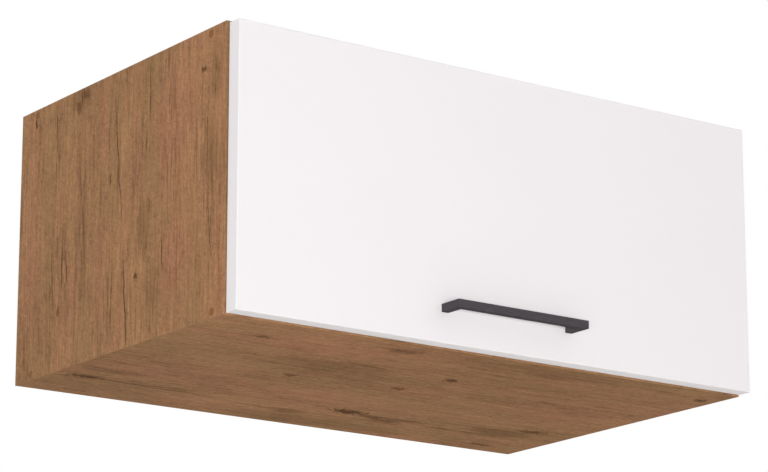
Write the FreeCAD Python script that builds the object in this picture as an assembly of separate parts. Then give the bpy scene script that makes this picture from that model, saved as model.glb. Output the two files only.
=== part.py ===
import FreeCAD, Part
import math
import os
from FreeCAD import Vector

# Low wide wall cabinet with a lift-up flap. Millimetres, +Z up, the front faces -Y.
# The origin is on the wall plane and the centre line, at mid-thickness of the top panel's rear edge.

# Carcass
CABINET_WIDTH = 800.0
CABINET_HEIGHT = 360.0
CARCASS_DEPTH = 490.0
BOARD = 16.0
CARCASS_BAND = 0.8
BACK_THICKNESS = 3.0
BACK_RECESS = 16.0
GROOVE_DEPTH = 7.0
BACK_PLAY = 0.5
GROOVE_PLAY = 0.1

# Carcass screws and their caps
CARCASS_SCREW_FRONT_UPPER = 34.0
CARCASS_SCREW_FRONT_LOWER = 25.0
CARCASS_SCREW_REAR = 39.0
CARCASS_SCREW_LENGTH = 50.0
CARCASS_SCREW_RADIUS = 2.5
CARCASS_SCREW_NECK_RADIUS = 3.5
CARCASS_SCREW_HEAD_RADIUS = 4.2
CARCASS_SCREW_HEAD = 3.0
HEX_SOCKET_RADIUS = 2.0
HEX_SOCKET_DEPTH = 2.4
CAP_RADIUS = 5.0
CAP_THICKNESS = 0.8
CAP_PEG = 2.0
CAP_EDGE_RADIUS = 0.3
SCREW_FIT = 0.05

# Flap and its handle
FLAP_THICKNESS = 22.0
FLAP_GAP = 2.5
SIDE_REVEAL = 2.0
TOP_REVEAL = 3.5
BOTTOM_REVEAL = 1.5
FLAP_BAND = 2.0
FLAP_EDGE_RADIUS = 1.5
HANDLE_HOLES = 192.0
HANDLE_BAR = 10.0
HANDLE_PROJECTION = 35.0
HANDLE_RISE = 43.0
HANDLE_BEND_RADIUS = 0.8
HANDLE_SCREW_RADIUS = 2.0
HANDLE_SCREW_HEAD_RADIUS = 4.2
HANDLE_SCREW_HEAD = 2.4
HANDLE_SCREW_GRIP = 12.0
BUMPER_RADIUS = 5.0
BUMPER_INSET = 22.0
BUMPER_PLAY = 0.3

# Cup hinges with one pivot each
OPEN_ANGLE = 90.0
HINGE_FROM_SIDE = 110.0
CUP_RADIUS = 17.5
CUP_WALL = 1.2
CUP_FLOOR = 1.0
CUP_DEPTH = 12.6
CUP_EDGE = 3.0
CUP_FLANGE = 1.0
CUP_SCREW_SPACING = 45.0
CUP_SCREW_BACK = 9.5
CUP_EAR_RADIUS = 5.5
CUP_FIT = 0.05
PIVOT_DEPTH = 9.0
PIVOT_DROP = 7.0
PIN_RADIUS = 1.0
PIN_HALF_LENGTH = 9.4
RUNNING_FIT = 0.06
EYE_RADIUS = 1.8
CHEEK_PLAY = 0.6
CHEEK_MARGIN = 2.4
NOSE_WIDTH = 9.0
ARM_WIDTH = 17.0
ARM_THICKNESS = 2.4
ARM_LENGTH = 62.0
ARM_TAPER_END = 6.0
ARM_TAPER_START = 16.0
ARM_LIP = 1.4
ARM_CLEARANCE = 0.8
ARM_BEND_RADIUS = 3.6
PLATE_THICKNESS = 2.0
PLATE_SCREW_SETBACK = 37.0
PLATE_SCREW_SPACING = 32.0
PLATE_EAR_RADIUS = 7.0
RIB_PLAY = 0.2
RIB_FRONT = 14.0
ARM_SCREW_SETBACK = 46.0
ADJUST_SCREW_SETBACK = 24.0
MACHINE_SCREW_RADIUS = 2.0
MACHINE_SCREW_HEAD_RADIUS = 3.8
MACHINE_SCREW_HEAD = 2.0
ARM_SLOT = 7.0

# Wood screws of the fittings
WOOD_SCREW_RADIUS = 1.6
WOOD_SCREW_HEAD_RADIUS = 3.2
WOOD_SCREW_HEAD = 1.6
WOOD_SCREW_LENGTH = 12.0
EURO_SCREW_RADIUS = 2.6
EURO_SCREW_HEAD_RADIUS = 4.2
EURO_SCREW_HEAD = 1.6
EURO_SCREW_LENGTH = 13.0

# Gas struts
STRUT_FROM_PANEL = 13.0
STRUT_REACH = 161.0
STUD_STANDOFF = 10.5
STUD_RADIUS = 3.0
STUD_HEAD_RADIUS = 4.2
STUD_HEAD = 1.5
STUD_BOSS_RADIUS = 5.0
STUD_BOSS_LENGTH = 5.0
STUD_PLAY = 0.4
EYE_FITTING_RADIUS = 6.5
EYE_FITTING_WIDTH = 9.0
FITTING_LENGTH = 14.0
FITTING_NECK_RADIUS = 4.4
TUBE_RADIUS = 7.5
TUBE_WALL = 0.9
TUBE_END = 3.0
TUBE_CHAMFER = 1.5
ROD_RADIUS = 3.0
ROD_SEAT = 8.0
ROD_EXPOSED = 5.0
SPIGOT_RADIUS = 2.0
PISTON_LENGTH = 8.0
PISTON_PLAY = 0.2
GLAND_LENGTH = 12.0
GLAND_LIP = 1.0
GLAND_CHAMFER = 0.5
STROKE_RESERVE = 3.0
BOTTOM_RESERVE = 6.7
BRACKET_THICKNESS = 2.0
SIDE_BRACKET_LENGTH = 54.0
SIDE_BRACKET_HEIGHT = 20.0
SIDE_BRACKET_SCREWS = 38.0
FLAP_BRACKET_WIDTH = 26.0
FLAP_BRACKET_HEIGHT = 40.0
FLAP_BRACKET_SCREWS = 26.0
FLAP_EAR_RADIUS = 7.0
BRACKET_CORNER = 4.0

# Cabinet hangers in the upper rear corners
HANGER_WIDTH = 19.0
HANGER_DEPTH = 60.0
HANGER_HEIGHT = 46.0
HANGER_DROP = 4.0
HANGER_CORNER = 8.0
HOOK_WIDTH = 11.0
HOOK_THICKNESS = 3.0
HOOK_DROP = 9.0
HOOK_INSIDE = 50.0
HOOK_LIP = 15.0
HOOK_BEND_RADIUS = 1.5
HOOK_WALL_GAP = 2.0
HOOK_PLAY = 0.1
HANGER_SCREW_RADIUS = 3.0
HANGER_SCREW_HEAD_RADIUS = 4.5
HANGER_SCREW_HEAD = 4.0
HANGER_SCREW_LENGTH = 48.0
HANGER_SCREW_UPPER = 20.0
HANGER_SCREW_LOWER = 36.0
HANGER_FIXING_HEIGHT = 28.0
HANGER_FIXING_ENDS = 16.0
COVER_WALL = 1.5
BACK_NOTCH_PLAY = 4.0

# Planes worked out from the driving dimensions
HALF_WIDTH = CABINET_WIDTH / 2
INNER_HALF = HALF_WIDTH - BOARD
TOP = BOARD / 2
TOP_UNDER = TOP - BOARD
BOTTOM = TOP - CABINET_HEIGHT
BOTTOM_UPPER = BOTTOM + BOARD
FRONT = -CARCASS_DEPTH
BOARD_FRONT = FRONT + CARCASS_BAND
BACK_REAR = -BACK_RECESS
BACK_FRONT = BACK_REAR - BACK_THICKNESS
FLAP_BACK = FRONT - FLAP_GAP
FLAP_FRONT = FLAP_BACK - FLAP_THICKNESS
FLAP_TOP = TOP - TOP_REVEAL
FLAP_BOTTOM = BOTTOM + BOTTOM_REVEAL
FLAP_HALF = HALF_WIDTH - SIDE_REVEAL
HANDLE_Z = FLAP_BOTTOM + HANDLE_RISE

PIVOT_Y = FLAP_BACK - PIVOT_DEPTH
PIVOT_Z = FLAP_TOP - PIVOT_DROP
CUP_Z = FLAP_TOP - CUP_EDGE - CUP_RADIUS
CUP_INNER_RADIUS = CUP_RADIUS - CUP_WALL
HINGE_X = -(HALF_WIDTH - HINGE_FROM_SIDE)
WEB_TOP = PIVOT_Z - PIVOT_DEPTH - CUP_FLANGE - ARM_CLEARANCE
WEB_BOTTOM = WEB_TOP - ARM_THICKNESS
ARM_REAR = PIVOT_Y + ARM_LENGTH

# Both strut studs lie at one distance from the flap's pivot, so the strut turns at half the flap's rate.
# Closed, the strut is its stroke and its dead length long, which sets the angle between the two studs.
STRUT_X = -(INNER_HALF - STRUT_FROM_PANEL)
STUD_Y = FLAP_BACK + STUD_STANDOFF
STUD_Z = PIVOT_Z - STRUT_REACH
STUD_ORBIT = math.hypot(STUD_Y - PIVOT_Y, STUD_Z - PIVOT_Z)
DEAD_LENGTH = (2 * FITTING_LENGTH + TUBE_END + BOTTOM_RESERVE + PISTON_LENGTH + STROKE_RESERVE
               + GLAND_LENGTH + ROD_EXPOSED)
HALF_OPEN = math.radians(OPEN_ANGLE) / 2
CHORD_GAIN = math.hypot(2 - math.cos(HALF_OPEN), math.sin(HALF_OPEN))
CHORD_LAG = math.atan2(math.sin(HALF_OPEN), 2 - math.cos(HALF_OPEN))
HALF_STUD_ANGLE = CHORD_LAG + math.asin(DEAD_LENGTH / (2 * STUD_ORBIT * CHORD_GAIN))
SIDE_STUD_ANGLE = math.atan2(STUD_Y - PIVOT_Y, PIVOT_Z - STUD_Z) + 2 * HALF_STUD_ANGLE
SIDE_STUD_Y = PIVOT_Y + STUD_ORBIT * math.sin(SIDE_STUD_ANGLE)
SIDE_STUD_Z = PIVOT_Z - STUD_ORBIT * math.cos(SIDE_STUD_ANGLE)
SIDE_STUD = Vector(STRUT_X, SIDE_STUD_Y, SIDE_STUD_Z)
FLAP_STUD = Vector(STRUT_X, STUD_Y, STUD_Z)
CLOSED_LENGTH = 2 * STUD_ORBIT * math.sin(HALF_STUD_ANGLE)
OPEN_LENGTH = 2 * STUD_ORBIT * math.sin(HALF_STUD_ANGLE + HALF_OPEN)
ALONG = (FLAP_STUD - SIDE_STUD).normalize()
TUBE_START = FITTING_LENGTH
BORE_START = TUBE_START + TUBE_END
TUBE_STOP = CLOSED_LENGTH - FITTING_LENGTH - ROD_EXPOSED
GLAND_START = TUBE_STOP - GLAND_LENGTH
PISTON_START = BORE_START + BOTTOM_RESERVE
PISTON_STOP = PISTON_START + PISTON_LENGTH
ROD_STOP = CLOSED_LENGTH - FITTING_LENGTH + ROD_SEAT
TUBE_BORE = TUBE_RADIUS - TUBE_WALL

X = Vector(1, 0, 0)
Y = Vector(0, 1, 0)
Z = Vector(0, 0, 1)

# How near an edge has to lie to the plane that picks it
NEAR = 0.01


def box(x0, x1, y0, y1, z0, z1):
    return Part.makeBox(x1 - x0, y1 - y0, z1 - z0, Vector(x0, y0, z0))


def bar(radius, start, stop):
    return Part.makeCylinder(radius, (stop - start).Length, start, stop - start)


def outline_prism(points, along):
    """Prism on a closed outline of corner points."""
    return Part.Face(Part.makePolygon(points + points[:1])).extrude(along)


def stadium(centre, across, spacing, radius, along):
    """Plate with round ends: two discs at the given spacing and the bar between them."""
    half = across * (spacing / 2)
    side = across.cross(along).normalize() * radius
    corners = [centre - half - side, centre + half - side, centre + half + side, centre - half + side]
    plate = outline_prism(corners, along)
    for end in (centre - half, centre + half):
        plate = plate.fuse(Part.makeCylinder(radius, along.Length, end, along))
    return plate.removeSplitter()


def flat_screw(face, along, length, radius, head_radius, head, grow=0.0):
    """Countersunk screw whose head lies flush at the point face."""
    shank = Part.makeCylinder(radius + grow, length + grow, face, along)
    return Part.makeCone(head_radius + grow, radius + grow, head, face, along).fuse(shank)


def pan_screw(face, along, length, radius, head_radius, head, grow=0.0):
    """Screw whose cylindrical head stands on the point face."""
    shank = Part.makeCylinder(radius + grow, length + grow, face, along)
    return Part.makeCylinder(head_radius, head, face - along * head, along).fuse(shank)


def wood_screw(face, along, grow=0.0):
    return flat_screw(face, along, WOOD_SCREW_LENGTH, WOOD_SCREW_RADIUS, WOOD_SCREW_HEAD_RADIUS,
                      WOOD_SCREW_HEAD, grow)


def hex_socket(face, along):
    """Hexagonal key socket sunk from the point face."""
    across = along.cross(Z).normalize() * (HEX_SOCKET_RADIUS / math.cos(math.radians(30)))
    turns = [FreeCAD.Rotation(along, 60 * corner) for corner in range(6)]
    return outline_prism([face + turn.multVec(across) for turn in turns], along * HEX_SOCKET_DEPTH)


def edges_along(shape, direction, test):
    """Straight edges that run in one direction and whose middle passes the test."""
    found = []
    for edge in shape.Edges:
        if isinstance(edge.Curve, Part.Line) and edge.Curve.Direction.cross(direction).Length < NEAR:
            if test(edge.CenterOfMass):
                found.append(edge)
    return found


def rims(shape, test):
    """Closed edges whose middle passes the test."""
    return [edge for edge in shape.Edges if edge.isClosed() and test(edge.CenterOfMass)]


def mirrored(shape):
    return shape.mirror(Vector(0, 0, 0), X)


def both(shapes):
    """The left-hand solids followed by their mirror images."""
    return shapes + [mirrored(shape) for shape in shapes]


def save(name, solids):
    Part.makeCompound(solids).exportStep("parts/" + name + ".step")


def save_pair(name, shape):
    save(name + "_left", [shape])
    save(name + "_right", [mirrored(shape)])


os.makedirs("parts", exist_ok=True)


# Carcass screws, through the left side panel into the ends of the top and bottom panels
carcass_screws, carcass_screw_holes, screw_caps = [], [], []
screw_rows = ((TOP - BOARD / 2, CARCASS_SCREW_FRONT_UPPER), (BOTTOM + BOARD / 2, CARCASS_SCREW_FRONT_LOWER))
for z, from_front in screw_rows:
    for y in (FRONT + from_front, -CARCASS_SCREW_REAR):
        outside = Vector(-HALF_WIDTH, y, z)
        face = outside + X * CAP_THICKNESS
        sizes = (BOARD - CAP_THICKNESS, CARCASS_SCREW_NECK_RADIUS, CARCASS_SCREW_HEAD_RADIUS,
                 CARCASS_SCREW_HEAD)
        thread = Part.makeCylinder(CARCASS_SCREW_RADIUS, CARCASS_SCREW_LENGTH, face, X)
        thread_hole = Part.makeCylinder(CARCASS_SCREW_RADIUS + SCREW_FIT, CARCASS_SCREW_LENGTH + SCREW_FIT,
                                        face, X)
        cap_seat = Part.makeCylinder(CAP_RADIUS + SCREW_FIT, CAP_THICKNESS, outside, X)
        peg = Part.makeCylinder(HEX_SOCKET_RADIUS - SCREW_FIT, CAP_PEG, face, X)
        disc = Part.makeCylinder(CAP_RADIUS, CAP_THICKNESS, outside, X)
        rim = rims(disc, lambda p: p.x < outside.x + NEAR)
        carcass_screws.append(flat_screw(face, X, *sizes).fuse(thread).cut(hex_socket(face, X)))
        carcass_screw_holes.append(flat_screw(face, X, *sizes, SCREW_FIT).fuse(thread_hole).fuse(cap_seat))
        screw_caps.append(disc.makeFillet(CAP_EDGE_RADIUS, rim).fuse(peg))
save("carcass_screws", both(carcass_screws))
save("screw_caps", both(screw_caps))


# Flap side of the cup hinge, left
def cup_solid(radius, depth):
    return Part.makeCylinder(radius, depth, Vector(HINGE_X, FLAP_BACK, CUP_Z), -Y)


pivot = Vector(HINGE_X, PIVOT_Y, PIVOT_Z)
cup_centre = Vector(HINGE_X, FLAP_BACK, CUP_Z)
ear_line = cup_centre - Z * CUP_SCREW_BACK
flange = stadium(ear_line, X, CUP_SCREW_SPACING, CUP_EAR_RADIUS, Y * CUP_FLANGE)
flange = flange.fuse(Part.makeCylinder(CUP_RADIUS, CUP_FLANGE, cup_centre, Y))
hollow = Part.makeCylinder(CUP_INNER_RADIUS, CUP_DEPTH - CUP_FLOOR + CUP_FLANGE,
                           cup_centre + Y * CUP_FLANGE, -Y)
cheek_half = NOSE_WIDTH / 2 + CHEEK_PLAY
cup_floor_y = FLAP_BACK - CUP_DEPTH
cheeks = box(HINGE_X - CUP_RADIUS, HINGE_X + CUP_RADIUS, cup_floor_y, PIVOT_Y + CHEEK_MARGIN,
             PIVOT_Z - CHEEK_MARGIN, FLAP_TOP)
cheeks = cheeks.cut(box(HINGE_X - cheek_half, HINGE_X + cheek_half, cup_floor_y, FLAP_BACK,
                        PIVOT_Z - CHEEK_MARGIN, FLAP_TOP)).common(cup_solid(CUP_RADIUS, CUP_DEPTH))
cup = cup_solid(CUP_RADIUS, CUP_DEPTH).fuse(flange).cut(hollow).fuse(cheeks)
pin_ends = (pivot - X * PIN_HALF_LENGTH, pivot + X * PIN_HALF_LENGTH)
cup = cup.cut(bar(PIN_RADIUS + SCREW_FIT, *pin_ends)).removeSplitter()
cup_screws, cup_screw_holes = [], []
for side in (-1, 1):
    face = ear_line + X * (side * CUP_SCREW_SPACING / 2) + Y * CUP_FLANGE
    cup_screws.append(wood_screw(face, -Y))
    cup_screw_holes.append(wood_screw(face, -Y, SCREW_FIT))
    cup = cup.cut(cup_screw_holes[-1])
save_pair("hinge_cup", cup)
save_pair("hinge_pin", bar(PIN_RADIUS, *pin_ends))
save("hinge_cup_screws", both(cup_screws))


# Carcass side of the cup hinge, left: a swan-neck arm on a winged plate under the top panel
neck_front = PIVOT_Y - ARM_THICKNESS / 2
neck_rear = PIVOT_Y + ARM_THICKNESS / 2
left_edge = HINGE_X - ARM_WIDTH / 2
side_outline = [(neck_front, WEB_BOTTOM), (ARM_REAR, WEB_BOTTOM), (ARM_REAR, WEB_TOP),
                (neck_rear, WEB_TOP), (neck_rear, PIVOT_Z), (neck_front, PIVOT_Z)]
neck = outline_prism([Vector(left_edge, y, z) for y, z in side_outline], X * ARM_WIDTH)
outer_bend = edges_along(neck, X, lambda p: abs(p.y - neck_front) < NEAR and abs(p.z - WEB_BOTTOM) < NEAR)
neck = neck.makeFillet(ARM_BEND_RADIUS, outer_bend)
inner_bend = edges_along(neck, X, lambda p: abs(p.y - neck_rear) < NEAR and abs(p.z - WEB_TOP) < NEAR)
neck = neck.makeFillet(ARM_BEND_RADIUS - ARM_THICKNESS, inner_bend)
plan_outline = [(-ARM_WIDTH / 2, ARM_REAR), (-ARM_WIDTH / 2, FRONT + ARM_TAPER_START),
                (-NOSE_WIDTH / 2, FRONT + ARM_TAPER_END), (-NOSE_WIDTH / 2, neck_front - EYE_RADIUS),
                (NOSE_WIDTH / 2, neck_front - EYE_RADIUS), (NOSE_WIDTH / 2, FRONT + ARM_TAPER_END),
                (ARM_WIDTH / 2, FRONT + ARM_TAPER_START), (ARM_WIDTH / 2, ARM_REAR)]
plan = outline_prism([Vector(HINGE_X + x, y, WEB_BOTTOM) for x, y in plan_outline], Z * (TOP - WEB_BOTTOM))
arm = neck.common(plan)
nose = (pivot - X * (NOSE_WIDTH / 2), pivot + X * (NOSE_WIDTH / 2))
arm = arm.fuse(bar(EYE_RADIUS, *nose)).cut(bar(PIN_RADIUS + RUNNING_FIT, *nose))
plate_under = TOP_UNDER - PLATE_THICKNESS
for x in (left_edge, left_edge + ARM_WIDTH - ARM_LIP):
    arm = arm.fuse(box(x, x + ARM_LIP, FRONT + ARM_TAPER_START, ARM_REAR, WEB_TOP, plate_under - RIB_PLAY))

rib_half = ARM_WIDTH / 2 - ARM_LIP - RIB_PLAY
wing_centre = Vector(HINGE_X, FRONT + PLATE_SCREW_SETBACK, plate_under)
plate = stadium(wing_centre, X, PLATE_SCREW_SPACING, PLATE_EAR_RADIUS, Z * PLATE_THICKNESS)
plate = plate.fuse(box(HINGE_X - rib_half, HINGE_X + rib_half, FRONT + RIB_FRONT, ARM_REAR,
                       WEB_TOP, TOP_UNDER))
plate_screws, plate_screw_holes = [], []
for side in (-1, 1):
    face = wing_centre + X * (side * PLATE_SCREW_SPACING / 2)
    sizes = (EURO_SCREW_LENGTH, EURO_SCREW_RADIUS, EURO_SCREW_HEAD_RADIUS, EURO_SCREW_HEAD)
    plate_screws.append(flat_screw(face, Z, *sizes))
    plate_screw_holes.append(flat_screw(face, Z, *sizes, SCREW_FIT))
    plate = plate.cut(plate_screw_holes[-1])

hinge_screws = []
for setback in (ARM_SCREW_SETBACK, ADJUST_SCREW_SETBACK):
    face = Vector(HINGE_X, FRONT + setback, WEB_BOTTOM)
    sizes = (TOP_UNDER - WEB_BOTTOM, MACHINE_SCREW_RADIUS, MACHINE_SCREW_HEAD_RADIUS, MACHINE_SCREW_HEAD)
    hinge_screws.append(pan_screw(face, Z, *sizes))
    plate = plate.cut(bar(MACHINE_SCREW_RADIUS + SCREW_FIT, face, face + Z * (TOP - WEB_BOTTOM)))
    arm = arm.cut(stadium(face, Y, ARM_SLOT - 2 * MACHINE_SCREW_RADIUS, MACHINE_SCREW_RADIUS + SCREW_FIT,
                          Z * ARM_THICKNESS))
save_pair("hinge_arm", arm.removeSplitter())
save_pair("hinge_plate", plate.removeSplitter())
save("hinge_plate_screws", both(plate_screws))
save("hinge_adjusting_screws", both(hinge_screws))


# Gas strut, left: pushed along the line between its two studs
def along(distance):
    return SIDE_STUD + ALONG * distance


def eye_fitting(stud, inward):
    """Plastic end eye on a stud, with its neck towards the strut."""
    half = X * (EYE_FITTING_WIDTH / 2)
    eye = bar(EYE_FITTING_RADIUS, stud - half, stud + half)
    neck_bar = bar(FITTING_NECK_RADIUS, stud, stud + inward * FITTING_LENGTH)
    bore = bar(STUD_RADIUS + RUNNING_FIT, stud - half, stud + half)
    return eye.fuse(neck_bar).cut(bore)


def stud_solid(stud, base_x, outward):
    """Stud from a bracket's face: boss, journal through the eye and a retaining head."""
    near = EYE_FITTING_WIDTH / 2 + STUD_PLAY
    boss_end = stud - X * (outward * near)
    journal_end = stud + X * (outward * near)
    boss = bar(STUD_BOSS_RADIUS, Vector(base_x, stud.y, stud.z), boss_end)
    head = bar(STUD_HEAD_RADIUS, journal_end, journal_end + X * (outward * STUD_HEAD))
    return boss.fuse(bar(STUD_RADIUS, boss_end, journal_end)).fuse(head)


def turned(profile):
    """Solid turned about the strut's line from (distance, radius) points."""
    points = [along(distance) + X * radius for distance, radius in profile]
    return Part.Face(Part.makePolygon(points + points[:1])).revolve(SIDE_STUD, ALONG, 360)


tube = turned([(TUBE_START, 0), (TUBE_START, TUBE_RADIUS - TUBE_CHAMFER),
               (TUBE_START + TUBE_CHAMFER, TUBE_RADIUS), (TUBE_STOP, TUBE_RADIUS), (TUBE_STOP, TUBE_BORE),
               (BORE_START, TUBE_BORE), (BORE_START, 0)])
gland_bore = ROD_RADIUS + RUNNING_FIT
gland_radius = TUBE_BORE - SCREW_FIT
lip_stop = TUBE_STOP + GLAND_LIP
gland = turned([(GLAND_START, gland_bore), (GLAND_START, gland_radius), (TUBE_STOP, gland_radius),
                (TUBE_STOP, TUBE_RADIUS), (lip_stop - GLAND_CHAMFER, TUBE_RADIUS),
                (lip_stop, TUBE_RADIUS - GLAND_CHAMFER), (lip_stop, gland_bore)])
strut_rod = turned([(PISTON_START, 0), (PISTON_START, SPIGOT_RADIUS), (PISTON_STOP, SPIGOT_RADIUS),
                    (PISTON_STOP, ROD_RADIUS), (ROD_STOP, ROD_RADIUS), (ROD_STOP, 0)])
piston = turned([(PISTON_START, SPIGOT_RADIUS + SCREW_FIT), (PISTON_START, TUBE_BORE - PISTON_PLAY),
                 (PISTON_STOP, TUBE_BORE - PISTON_PLAY), (PISTON_STOP, SPIGOT_RADIUS + SCREW_FIT)])
rod_socket = bar(ROD_RADIUS + SCREW_FIT, along(CLOSED_LENGTH - FITTING_LENGTH), along(ROD_STOP))
rod_fitting = eye_fitting(FLAP_STUD, -ALONG).cut(rod_socket)
save_pair("strut_cylinder", tube)
save_pair("strut_gland", gland)
save_pair("strut_cylinder_eye", eye_fitting(SIDE_STUD, ALONG))
save_pair("strut_rod", strut_rod)
save_pair("strut_piston", piston)
save_pair("strut_rod_eye", rod_fitting)


# Strut brackets, left: a plate on the side panel and an angle on the flap
side_face_x = -INNER_HALF
bracket_x = side_face_x + BRACKET_THICKNESS
side_bracket = box(side_face_x, bracket_x,
                   SIDE_STUD_Y - SIDE_BRACKET_LENGTH / 2, SIDE_STUD_Y + SIDE_BRACKET_LENGTH / 2,
                   SIDE_STUD_Z - SIDE_BRACKET_HEIGHT / 2, SIDE_STUD_Z + SIDE_BRACKET_HEIGHT / 2)
side_bracket = side_bracket.makeFillet(BRACKET_CORNER, edges_along(side_bracket, X, lambda p: True))
side_bracket = side_bracket.fuse(stud_solid(SIDE_STUD, bracket_x, 1))
side_screws, side_screw_holes = [], []
for end in (-1, 1):
    face = Vector(bracket_x, SIDE_STUD_Y + end * SIDE_BRACKET_SCREWS / 2, SIDE_STUD_Z)
    side_screws.append(wood_screw(face, -X))
    side_screw_holes.append(wood_screw(face, -X, SCREW_FIT))
    side_bracket = side_bracket.cut(side_screw_holes[-1])

ear_x = STRUT_X + EYE_FITTING_WIDTH / 2 + STUD_PLAY + STUD_BOSS_LENGTH
base_y = FLAP_BACK + BRACKET_THICKNESS
base = box(ear_x, ear_x + FLAP_BRACKET_WIDTH, FLAP_BACK, base_y,
           STUD_Z - FLAP_BRACKET_HEIGHT / 2, STUD_Z + FLAP_BRACKET_HEIGHT / 2)
base = base.makeFillet(BRACKET_CORNER, edges_along(base, Y, lambda p: p.x > ear_x + BRACKET_CORNER))
ear_end = Vector(ear_x, STUD_Y, STUD_Z)
ear_root = FLAP_BRACKET_HEIGHT / 2
ear_outline = [Vector(ear_x, FLAP_BACK, STUD_Z - ear_root), Vector(ear_x, base_y, STUD_Z - ear_root),
               ear_end - Z * FLAP_EAR_RADIUS, ear_end + Z * FLAP_EAR_RADIUS,
               Vector(ear_x, base_y, STUD_Z + ear_root), Vector(ear_x, FLAP_BACK, STUD_Z + ear_root)]
ear = outline_prism(ear_outline, X * BRACKET_THICKNESS)
ear = ear.fuse(bar(FLAP_EAR_RADIUS, ear_end, ear_end + X * BRACKET_THICKNESS))
flap_bracket = base.fuse(ear).fuse(stud_solid(FLAP_STUD, ear_x, -1)).removeSplitter()
flap_bracket_screws, flap_bracket_screw_holes = [], []
for end in (-1, 1):
    face = Vector(ear_x + (FLAP_BRACKET_WIDTH + BRACKET_THICKNESS) / 2, base_y,
                  STUD_Z + end * FLAP_BRACKET_SCREWS / 2)
    flap_bracket_screws.append(wood_screw(face, -Y))
    flap_bracket_screw_holes.append(wood_screw(face, -Y, SCREW_FIT))
    flap_bracket = flap_bracket.cut(flap_bracket_screw_holes[-1])
save_pair("strut_side_bracket", side_bracket)
save_pair("strut_flap_bracket", flap_bracket)
save("strut_side_bracket_screws", both(side_screws))
save("strut_flap_bracket_screws", both(flap_bracket_screws))


# Cabinet hanger, left: housing on the side panel, hook through the back panel, screws and a cover
hanger_x = -INNER_HALF + HANGER_WIDTH
hanger_front = BACK_FRONT - HANGER_DEPTH
hanger_top = TOP_UNDER - HANGER_DROP
hanger_bottom = hanger_top - HANGER_HEIGHT
hook_x = -INNER_HALF + HANGER_WIDTH / 2
hook_top = hanger_top - HOOK_DROP
hook_bottom = hook_top - HOOK_THICKNESS
hook_inner = BACK_FRONT - HOOK_INSIDE
hook_rear = -HOOK_WALL_GAP
hook_outline = [(hook_inner, hook_bottom), (hook_rear - HOOK_THICKNESS, hook_bottom),
                (hook_rear - HOOK_THICKNESS, hook_top - HOOK_LIP), (hook_rear, hook_top - HOOK_LIP),
                (hook_rear, hook_top), (hook_inner, hook_top)]
hook_side = hook_x - HOOK_WIDTH / 2
hook = outline_prism([Vector(hook_side, y, z) for y, z in hook_outline], X * HOOK_WIDTH)
hook_bend = edges_along(hook, X, lambda p: p.z > hook_top - NEAR and p.y > hook_rear - NEAR)
hook = hook.makeFillet(HOOK_BEND_RADIUS, hook_bend)
housing = box(-INNER_HALF, hanger_x, hanger_front, BACK_FRONT, hanger_bottom, hanger_top)
housing = housing.makeFillet(HANGER_CORNER, edges_along(housing, X, lambda p: p.y < hanger_front + NEAR))
housing = housing.cut(box(hook_side - HOOK_PLAY, hook_side + HOOK_WIDTH + HOOK_PLAY,
                          hook_inner - HOOK_PLAY, BACK_FRONT, hook_bottom - HOOK_PLAY, hook_top))
hanger_screws, hanger_fixings, hanger_fixing_holes = [], [], []
for drop in (HANGER_SCREW_UPPER, HANGER_SCREW_LOWER):
    start = Vector(hook_x, hanger_front, hanger_top - drop)
    head_end = start + Y * HANGER_SCREW_HEAD
    shank_end = start + Y * HANGER_SCREW_LENGTH
    head = bar(HANGER_SCREW_HEAD_RADIUS, start, head_end)
    hanger_screws.append(head.fuse(bar(HANGER_SCREW_RADIUS, head_end, shank_end)).cut(hex_socket(start, Y)))
    housing = housing.cut(bar(HANGER_SCREW_HEAD_RADIUS + SCREW_FIT, start, head_end))
    housing = housing.cut(bar(HANGER_SCREW_RADIUS + SCREW_FIT, head_end, shank_end))
for y in (hanger_front + HANGER_FIXING_ENDS, BACK_FRONT - HANGER_FIXING_ENDS):
    face = Vector(hanger_x, y, hanger_top - HANGER_FIXING_HEIGHT)
    sizes = (HANGER_WIDTH + WOOD_SCREW_LENGTH, WOOD_SCREW_RADIUS, WOOD_SCREW_HEAD_RADIUS, WOOD_SCREW_HEAD)
    hanger_fixings.append(flat_screw(face, -X, *sizes))
    hanger_fixing_holes.append(flat_screw(face, -X, *sizes, SCREW_FIT))
    housing = housing.cut(hanger_fixing_holes[-1])
cover = box(hanger_x, hanger_x + COVER_WALL, hanger_front, BACK_FRONT,
            hanger_bottom - COVER_WALL, hanger_top)
cover = cover.makeFillet(HANGER_CORNER, edges_along(cover, X, lambda p: p.y < hanger_front + NEAR))
cover = cover.fuse(box(-INNER_HALF, hanger_x, hanger_front + HANGER_CORNER, BACK_FRONT,
                       hanger_bottom - COVER_WALL, hanger_bottom)).removeSplitter()
save_pair("hanger_housing", housing)
save_pair("hanger_hook", hook)
save_pair("hanger_cover", cover)
save("hanger_adjusting_screws", both(hanger_screws))
save("hanger_fixing_screws", both(hanger_fixings))


# Carcass boards; the back panel sits in a groove that runs round all four
groove = box(-INNER_HALF - GROOVE_DEPTH, INNER_HALF + GROOVE_DEPTH,
             BACK_FRONT - GROOVE_PLAY, BACK_REAR + GROOVE_PLAY,
             BOTTOM_UPPER - GROOVE_DEPTH, TOP_UNDER + GROOVE_DEPTH)
side_panel = box(-HALF_WIDTH, -INNER_HALF, BOARD_FRONT, 0, BOTTOM, TOP).cut(groove)
for hole in carcass_screw_holes + side_screw_holes + hanger_fixing_holes:
    side_panel = side_panel.cut(hole)
save_pair("side_panel", side_panel)

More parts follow.
